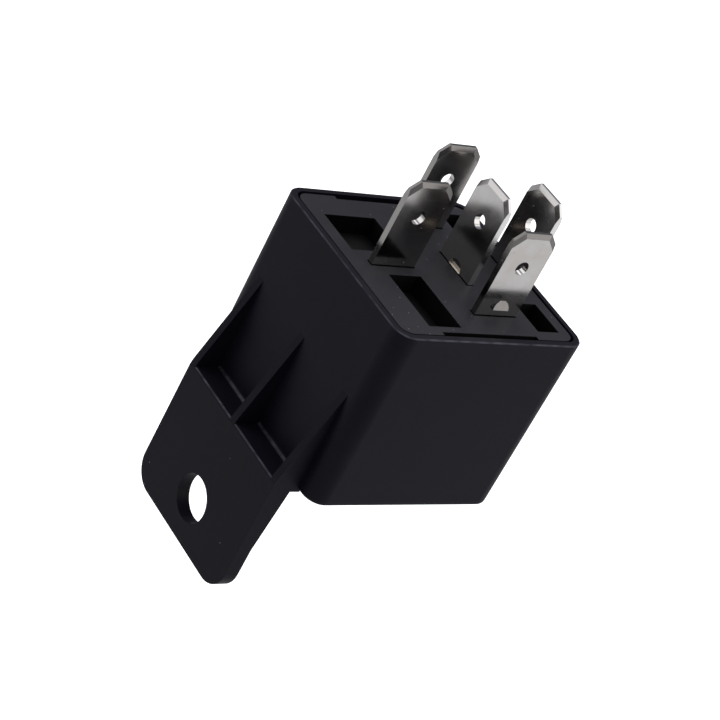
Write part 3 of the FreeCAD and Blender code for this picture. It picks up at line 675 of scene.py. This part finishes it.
def tube(name: str, route: Sequence[Vector], radius: float, sides: int) -> bpy.types.Object:
    """Sweeps a round wire along a route and closes its ends.

    Args:
        name: The piece's name.
        route: Points of the wire's middle, in metres.
        radius: The wire's radius in metres.
        sides: Faces round it.

    Returns:
        The linked object.
    """
    vertices: List[Vector] = []
    faces: List[Tuple[int, ...]] = []
    across = Vector((0, 0, 1))
    too_short = 0.1
    last = len(route) - 1
    for i, point in enumerate(route):
        way = (route[min(i + 1, last)] - route[max(i - 1, 0)]).normalized()
        side = across - way * across.dot(way)
        if side.length < too_short:
            side = way.orthogonal()
        across = side.normalized()
        other = way.cross(across)
        for step in range(sides):
            angle = 2 * math.pi * step / sides
            vertices.append(point + across * radius * math.cos(angle)
                            + other * radius * math.sin(angle))
    for i in range(last):
        for step in range(sides):
            after = (step + 1) % sides
            faces.append((i * sides + step, i * sides + after, (i + 1) * sides + after,
                          (i + 1) * sides + step))
    faces.append(tuple(reversed(range(sides))))
    faces.append(tuple(last * sides + step for step in range(sides)))
    return new_piece(name, vertices, faces)


def joined(name: str, pieces: Sequence[bpy.types.Object]) -> bpy.types.Object:
    """Joins several meshes into one new piece and takes the separate ones away.

    Args:
        name: The new piece's name.
        pieces: The objects to join.

    Returns:
        The linked object.
    """
    both = bmesh.new()
    for piece in pieces:
        both.from_mesh(piece.data)
        bpy.data.objects.remove(piece, do_unlink=True)
    for face in both.faces:
        face.smooth = True
    mesh = bpy.data.meshes.new(name)
    both.to_mesh(mesh)
    both.free()
    whole = bpy.data.objects.new(name, mesh)
    bpy.context.scene.collection.objects.link(whole)
    return whole


def middle_line(node: str, thick: float) -> List[Vector]:
    """Finds the middle line of a bent strip of even thickness that lies along the XZ plane.

    Args:
        node: The strip's node.
        thick: Its thickness in metres.

    Returns:
        Points of the middle line, from its highest end.
    """
    digits = 6
    same_place = thick / 4
    corners = {(round(vertex.co.x, digits), round(vertex.co.z, digits))
               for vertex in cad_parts[node].data.vertices if vertex.co.y > 0}
    points = [Vector((x, 0, z)) for x, z in corners]
    middles = []
    for point in points:
        partner = min((p for p in points if p is not point), key=lambda p: abs((p - point).length - thick))
        middles.append((point + partner) / 2)
    middles.sort(key=lambda p: -p.z)
    line = [middles.pop(0)]
    while middles:
        closest = min(middles, key=lambda p: (p - line[-1]).length)
        middles.remove(closest)
        if (closest - line[-1]).length > same_place:
            line.append(closest)
    return line


def along(line: Sequence[Vector], step: float) -> List[Tuple[Vector, Vector]]:
    """Walks a line in even steps.

    Args:
        line: Its points.
        step: The step in metres.

    Returns:
        Each place with the line's direction there.
    """
    places = []
    rest = 0.0
    for start, end in zip(line, line[1:]):
        run = end - start
        reach = rest
        while reach < run.length:
            places.append((start + run * (reach / run.length), run.normalized()))
            reach += step
        rest = reach - run.length
    return places


@dataclass
class Housing:
    """The moulded cover with its tab, and the base plate that closes it."""

    dresser: Dresser

    def build(self) -> None:
        """Dresses both mouldings."""
        self.dresser.dress("cover", COVER_FINISH)
        self.dresser.dress("base_plate", BASE_FINISH)


@dataclass
class Terminals:
    """The five flat blades and the strips that they continue as inside."""

    dresser: Dresser
    level: Tuple[str, ...] = ("30", "85", "86")
    crosswise: Tuple[str, ...] = ("87", "87a")

    def build(self) -> None:
        """Dresses every blade."""
        for number in self.level:
            self.dresser.dress("terminal_" + number, BLADE_FINISH)
        for number in self.crosswise:
            self.dresser.dress("terminal_" + number, CROSS_BLADE_FINISH)


@dataclass
class Magnet:
    """The coil on its bobbin with the yoke and the core."""

    dresser: Dresser
    wire_mm: float = 0.24
    wire_steps: int = 5
    segments: int = 96
    lead_mm: float = 0.3
    lead_start_mm: float = 1.0
    lead_turns: int = 3
    lead_sides: int = 12
    lead_slack: float = 0.96
    tag_mm: float = 1.2
    ring_share: float = 0.2

    def build(self) -> None:
        """Dresses the plain pieces and lays the winding's turns."""
        for node, finish in (("yoke", STEEL_FINISH), ("core", STEEL_FINISH), ("bobbin", BOBBIN_FINISH),
                             ("winding_tape", TAPE_FINISH)):
            self.dresser.dress(node, finish)
        self.lay_turns()
        self.wrap_lead("85", -1)
        self.wrap_lead("86", 1)

    def wrap_lead(self, number: str, side: int) -> None:
        """Leads the wire's end from the coil to a tag and winds it round.

        Args:
            number: The terminal's number.
            side: -1 or 1 along Y.
        """
        radius = self.lead_mm / 2 * MM
        low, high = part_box("coil_lead_" + number)
        tag_x = low.x + 2 * radius
        tag_wide = self.tag_mm * MM
        plate_low, plate_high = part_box("terminal_30")
        half = (plate_high.y - plate_low.y) / 2
        middle_y = (high.y if side > 0 else low.y) - side * (half + 2 * radius)
        corners = [(tag_x - radius, -half - radius), (tag_x + tag_wide + radius, -half - radius),
                   (tag_x + tag_wide + radius, half + radius), (tag_x - radius, half + radius)]
        coil_low, coil_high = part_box("winding")
        coil_x = (coil_low.x + coil_high.x) / 2
        outer = (coil_high.x - coil_low.x) / 2
        middle_z = (low.z + high.z) / 2
        route = [Vector((coil_x + self.lead_start_mm * MM, side * (outer - radius), middle_z))]
        count = 4 * self.lead_turns
        for i in range(count):
            x, y = corners[i % 4]
            z = middle_z + radius * 2 * (i / 4 - self.lead_turns / 2)
            route.append(Vector((x, middle_y + side * y, z)))
        piece = tube("wire_end_" + number, route, radius * self.lead_slack, self.lead_sides)
        self.dresser.place(piece, WIRE_FINISH, Slot.WIRE, Body.HOUSING)
        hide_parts("coil_lead_" + number)

    def lay_turns(self) -> None:
        """Replaces the winding's plain ring with one whose outside shows every turn of wire."""
        low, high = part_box("winding")
        centre = (low + high) / 2
        outer = (high.x - low.x) / 2
        core_low, core_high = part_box("core")
        inner = outer - (core_high.x - core_low.x) * self.ring_share
        turns = int((high.z - low.z) / (self.wire_mm * MM))
        pitch = (high.z - low.z) / turns
        radius = pitch / 2
        profile = [(inner, low.z)]
        for turn in range(turns):
            middle = low.z + pitch * (turn + 0.5)
            for step in range(self.wire_steps):
                angle = math.pi * (step + 0.5) / self.wire_steps - math.pi / 2
                profile.append((outer - radius + radius * math.cos(angle),
                                middle + radius * math.sin(angle)))
        profile.append((inner, high.z))
        piece = turned("winding_turns", profile, centre, self.segments)
        self.dresser.place(piece, WIRE_FINISH, Slot.WIRE, Body.HOUSING)
        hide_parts("winding")


@dataclass
class ContactSet:
    """The armature with its spring, rivets, contacts and braid.

    The real braid has about a hundred strands of 0.05 mm, too fine to show, so it is drawn with a
    dozen thicker ones.
    """

    dresser: Dresser
    braid_thick_mm: float = 0.6
    strand_mm: float = 0.2
    strands: int = 12
    strand_sides: int = 8
    plait_mm: float = 5.0
    plait_step_mm: float = 0.2
    crossings: int = 4
    bend_above_mm: float = 0.2
    bend_inward_mm: float = 1.2
    bend_below_mm: float = 1.7

    def build(self) -> None:
        """Dresses the rigid pieces and puts copies of the spring and the braid in place of their nodes, on
        neither body.
        """
        for node, finish in (("armature", STEEL_FINISH), ("armature_rivets", STEEL_FINISH),
                             ("spring_rivets", STEEL_FINISH), ("moving_contact", CONTACT_FINISH),
                             ("normally_open_contact", CONTACT_FINISH),
                             ("normally_closed_contact", CONTACT_FINISH)):
            self.dresser.dress(node, finish)
        self.bend("contact_spring", "leaf_spring", SPRING_FINISH, Slot.SPRING)
        self.plait_braid()

    def plait_braid(self) -> None:
        """Plaits the copper shunt from strands that cross over and under one another."""
        low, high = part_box("braid")
        half = (high.y - low.y) / 2
        line = middle_line("braid", self.braid_thick_mm * MM)
        strand = self.strand_mm / 2 * MM
        swing = half - strand
        lift = self.braid_thick_mm / 2 * MM - strand
        pieces = []
        places = along(line, self.plait_step_mm * MM)
        for number in range(self.strands):
            phase = number / self.strands
            route = []
            for count, (point, way) in enumerate(places):
                turn = phase + count * self.plait_step_mm / self.plait_mm
                aside = Vector((way.z, 0, -way.x))
                height = lift * math.cos(2 * math.pi * turn * self.crossings)
                route.append(point + aside * height + Vector((0, swing * math.sin(2 * math.pi * turn), 0)))
            pieces.append(tube("strand", route, strand, self.strand_sides))
        shunt = joined("copper_shunt", pieces)
        self.bend_at_hinge(shunt, "braid", BRAID_FINISH, Slot.BRAID)

    def bend(self, node: str, name: str, finish: Finish, slot: Slot) -> None:
        """Replaces a node that crosses the hinge with a copy of its mesh.

        Args:
            node: The node of the frame.
            name: The new piece's name.
            finish: Its finish.
            slot: Its material slot.
        """
        self.bend_at_hinge(copy_of(node, name), node, finish, slot)

    def bend_at_hinge(self, piece: bpy.types.Object, node: str, finish: Finish, slot: Slot) -> None:
        """Finishes a piece in place of a node, hides the node and bakes the piece's transform, on neither
        body.

        Args:
            piece: The new piece.
            node: The node that it replaces.
            finish: Its finish.
            slot: Its material slot.
        """
        self.dresser.place(piece, finish, slot, None)
        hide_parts(node)
        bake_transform(piece)


@dataclass(frozen=True)
class SoftBox:
    """One square soft box: the way to it from the relay, how far, how big and how bright.

    A level of 1 lights a surface that faces the box so that its colour renders as written.
    """

    name: str
    way: Tuple[float, float, float]
    distance_mm: float
    size_mm: float
    level: float


@dataclass
class Studio:
    """A white floor, soft lamps and the camera at the picture's angle."""

    aim_mm: Tuple[float, float, float] = (11.25, -2.46, 23.45)
    distance_mm: float = 294.1
    azimuth_deg: float = 46.29
    elevation_deg: float = 28.35
    roll_deg: float = 28.65
    lens_mm: float = 127.8
    sensor_mm: float = 36.0
    clip_near_mm: float = 10.0
    clip_far_mm: float = 20000.0
    floor_z_mm: float = -40.0
    floor_half_mm: float = 3000.0
    floor_tone: str = "#dededd"
    floor_glow: float = 0.75
    floor_mirror_glow: float = 0.12
    room_tone: str = "#eff3ff"
    horizon: float = 0.2
    zenith: float = 0.6
    zenith_from: float = 0.8
    boxes: Tuple[SoftBox, ...] = (
        SoftBox("right_box", (1.0, -1.0, 0.66), 470.0, 480.0, 0.62),
        SoftBox("left_box", (-1.0, 1.0, 0.66), 470.0, 420.0, 0.36),
        SoftBox("top_box", (0.25, 0.2, 0.95), 550.0, 520.0, 0.5),
    )

    def build(self) -> None:
        """Sets the whole studio up."""
        bpy.context.scene.view_settings.view_transform = "Standard"
        self.place_camera()
        self.lay_floor()
        self.light_world()
        self.hang_lamps()

    def place_camera(self) -> None:
        """Stands the camera back from its aim and rolls it as the picture was taken."""
        azimuth = math.radians(self.azimuth_deg)
        elevation = math.radians(self.elevation_deg)
        ahead = Vector((math.sin(azimuth) * math.cos(elevation), math.cos(azimuth) * math.cos(elevation),
                        -math.sin(elevation)))
        level = ahead.to_track_quat("-Z", "Y")
        rolled = level @ Quaternion((0, 0, 1), math.radians(self.roll_deg))
        data = bpy.data.cameras.new("camera")
        data.lens = self.lens_mm
        data.sensor_width = self.sensor_mm
        data.clip_end = self.clip_far_mm * MM
        data.clip_start = self.clip_near_mm * MM
        camera = bpy.data.objects.new("camera", data)
        camera.rotation_mode = "QUATERNION"
        camera.rotation_quaternion = rolled
        camera.location = Vector(self.aim_mm) * MM - ahead * self.distance_mm * MM
        bpy.context.scene.collection.objects.link(camera)
        bpy.context.scene.camera = camera

    def lay_floor(self) -> None:
        """Lays a pale floor under the relay that stays white to the camera and keeps the shadow."""
        half = self.floor_half_mm * MM
        height = self.floor_z_mm * MM
        floor = new_piece("floor", [(-half, -half, height), (half, -half, height), (half, half, height),
                                    (-half, half, height)], [(0, 1, 2, 3)], smooth=False)
        material, tree, surface = new_material("white_studio_floor")
        sight = add_node(tree, "ShaderNodeLightPath")
        seen = add_node(tree, "ShaderNodeMath", {"operation": "MAXIMUM"},
                        {"#0": sight.outputs["Is Camera Ray"], "#1": sight.outputs["Is Transmission Ray"]})
        glow = add_node(tree, "ShaderNodeMath", {"operation": "MULTIPLY", "#1": self.floor_glow},
                        {"#0": seen.outputs[0]})
        strength = add_node(tree, "ShaderNodeMath", {"operation": "MULTIPLY_ADD",
                                                     "#1": self.floor_mirror_glow},
                            {"#0": sight.outputs["Is Glossy Ray"], "#2": glow.outputs[0]})
        paint = add_node(tree, "ShaderNodeBsdfDiffuse", {"Color": linear(self.floor_tone)})
        shine = add_node(tree, "ShaderNodeEmission", {"Color": linear(WHITE)},
                         {"Strength": strength.outputs[0]})
        both = add_node(tree, "ShaderNodeAddShader", links={"#0": paint.outputs[0], "#1": shine.outputs[0]})
        tree.links.new(both.outputs[0], surface)
        floor.data.materials.append(material)

    def light_world(self) -> None:
        """Surrounds the relay with a pale room, dim at the horizon and brighter overhead."""
        world = bpy.data.worlds.new("room")
        world.use_nodes = True
        tree = world.node_tree
        tree.nodes.clear()
        output = tree.nodes.new("ShaderNodeOutputWorld")
        sight = add_node(tree, "ShaderNodeLightPath")
        way = add_node(tree, "ShaderNodeTexCoord")
        parts = add_node(tree, "ShaderNodeSeparateXYZ", links={"Vector": way.outputs["Generated"]})
        rise = add_node(tree, "ShaderNodeMapRange", {"From Min": 0.0, "From Max": self.zenith_from,
                                                     "To Min": self.horizon, "To Max": self.zenith},
                        {"Value": parts.outputs["Z"]})
        room = add_node(tree, "ShaderNodeBackground", {"Color": linear(self.room_tone)},
                        {"Strength": rise.outputs[0]})
        white = add_node(tree, "ShaderNodeBackground", {"Color": linear(WHITE), "Strength": 1.0})
        mix = add_node(tree, "ShaderNodeMixShader", links={"#0": sight.outputs["Is Camera Ray"],
                                                           "#1": room.outputs[0], "#2": white.outputs[0]})
        tree.links.new(mix.outputs[0], output.inputs["Surface"])
        bpy.context.scene.world = world

    def hang_lamps(self) -> None:
        """Hangs the soft boxes round the relay, each facing it."""
        centre = Vector(self.aim_mm) * MM
        for box in self.boxes:
            place = centre + Vector(box.way).normalized() * box.distance_mm * MM
            data = bpy.data.lights.new(box.name, "AREA")
            data.shape = "SQUARE"
            data.size = box.size_mm * MM
            data.energy = box.level * (math.pi * box.distance_mm * MM) ** 2
            lamp = bpy.data.objects.new(box.name, data)
            lamp.location = place
            lamp.rotation_mode = "QUATERNION"
            lamp.rotation_quaternion = (centre - place).to_track_quat("-Z", "Y")
            bpy.context.scene.collection.objects.link(lamp)
            LOG.info("hung %s", box.name)


def main() -> None:
    logging.basicConfig(level=logging.INFO, format="%(name)s: %(message)s")
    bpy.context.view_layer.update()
    dresser = Dresser()
    for assembly in (Housing(dresser), Terminals(dresser), Magnet(dresser), ContactSet(dresser), Studio()):
        LOG.info("building %s", type(assembly).__name__)
        assembly.build()


if __name__ == "__main__":
    main()
